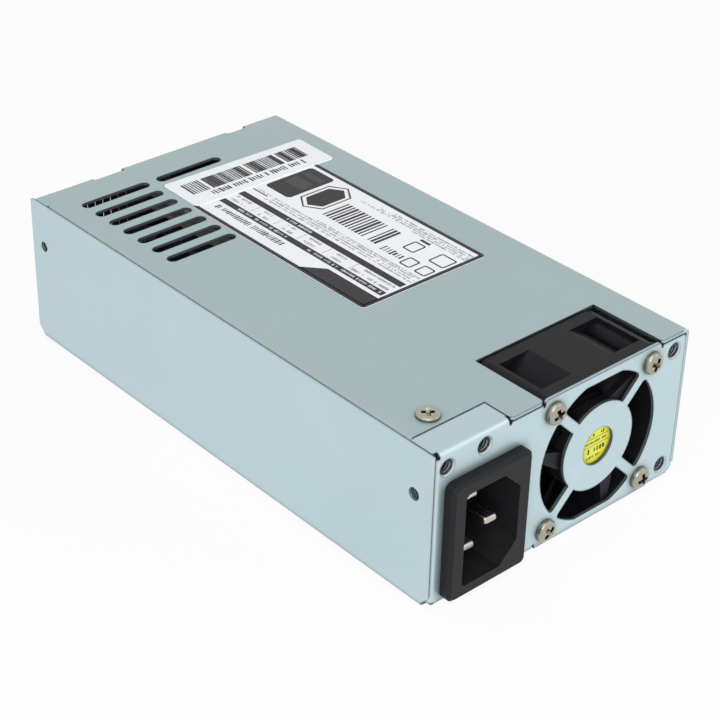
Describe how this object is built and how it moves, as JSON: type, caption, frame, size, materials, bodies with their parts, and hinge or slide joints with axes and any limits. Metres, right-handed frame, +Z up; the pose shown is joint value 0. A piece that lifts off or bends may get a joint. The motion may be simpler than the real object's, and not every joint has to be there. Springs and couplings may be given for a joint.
{
  "type": "one-unit server power supply",
  "caption": "Low steel-cased one-unit power supply with a mains inlet, a screwed-in fan behind a pressed grille, cover vents and a cable outlet.",
  "frame": {"origin": "middle of the underside of the whole box, on the floor", "axes": "+X to the right seen from the rear, +Y from the rear panel to the cable end, +Z up"},
  "size_m": [0.0816, 0.1542, 0.0414],
  "materials": {
    "case_steel": "zinc-coated sheet steel, matt grey with a cool cast",
    "black_plastic": "moulded black thermoplastic, satin",
    "fan_plastic": "moulded black thermoplastic, smooth",
    "screw_steel": "nickel-plated, slightly yellow",
    "label_white": "printed film label, satin",
    "label_yellow": "plain label, satin",
    "pin_metal": "nickel-plated brass",
    "board_green": "glass-fibre laminate with solder mask",
    "board_brown": "paper-phenolic laminate",
    "film": "insulating film",
    "bearing_metal": "sintered bronze",
    "shaft_steel": "ground steel",
    "core_steel": "stacked electrical sheet",
    "magnet": "plastic-bonded ferrite",
    "copper": "enamelled copper wire",
    "choke_winding": "enamelled copper wire on a ring core",
    "core_ferrite": "dark ferrite",
    "tape": "yellow winding tape",
    "film_capacitor": "moulded box",
    "film_capacitor_red": "dipped box",
    "relay": "moulded box",
    "disc_blue": "dipped ceramic disc",
    "can_black": "aluminium can in a dark sleeve",
    "can_blue": "aluminium can in a dark blue sleeve",
    "fuse_glass": "clear glass with plated caps",
    "clip_metal": "tinned spring brass",
    "heatsink": "extruded aluminium",
    "package": "moulded semiconductor package",
    "nylon_white": "moulded nylon",
    "lead_black": "PVC sleeve",
    "lead_brown": "PVC sleeve",
    "lead_blue": "PVC sleeve",
    "lead_green": "PVC sleeve"
  },
  "bodies": {
    "case": {"tray": "case_steel", "cover": "case_steel", "cable_bushing": "black_plastic", "fan_frame": "fan_plastic", "fan_bearing": "bearing_metal", "fan_stator": "core_steel", "fan_windings": "copper", "fan_board": "board_green", "fan_label": "label_yellow", "fan_screws": "screw_steel", "cover_screws": "screw_steel", "inlet_housing": "black_plastic", "inlet_power_pins": "pin_metal", "inlet_earth_pin": "pin_metal", "circuit_board": "board_brown", "board_screws": "screw_steel", "insulating_film": "film", "fuse": "fuse_glass", "fuse_clips": "clip_metal", "line_choke": "choke_winding", "boost_choke": "choke_winding", "output_choke": "choke_winding", "line_capacitor": "film_capacitor", "boost_capacitor": "film_capacitor_red", "relay": "relay", "disc_capacitors": "disc_blue", "bulk_capacitor": "can_black", "output_capacitors": "can_blue", "main_transformer_core": "core_ferrite", "main_transformer_winding": "tape", "standby_transformer_core": "core_ferrite", "standby_transformer_winding": "tape", "primary_heatsink": "heatsink", "secondary_heatsink": "heatsink", "bridge_rectifier": "package", "power_switches": "package", "output_rectifiers": "package", "control_board": "board_green", "output_posts": "pin_metal", "earth_screw": "screw_steel", "earth_terminal": "clip_metal", "fan_header": "nylon_white", "fan_plug": "nylon_white", "earth_lead": "lead_green", "fan_lead": "lead_black", "line_lead": "lead_brown", "neutral_lead": "lead_blue", "rating_label": "label_white", "serial_label": "label_white"},
    "rotor": {"fan_rotor": "fan_plastic", "fan_magnet": "magnet", "fan_shaft": "shaft_steel"}
  },
  "joints": [
    {"name": "fan_spin", "type": "hinge", "parent": "case", "child": "rotor", "pos_m": [0.01205, -0.0633, 0.02025], "axis": [0, 1, 0], "continuous": true}
  ]
}
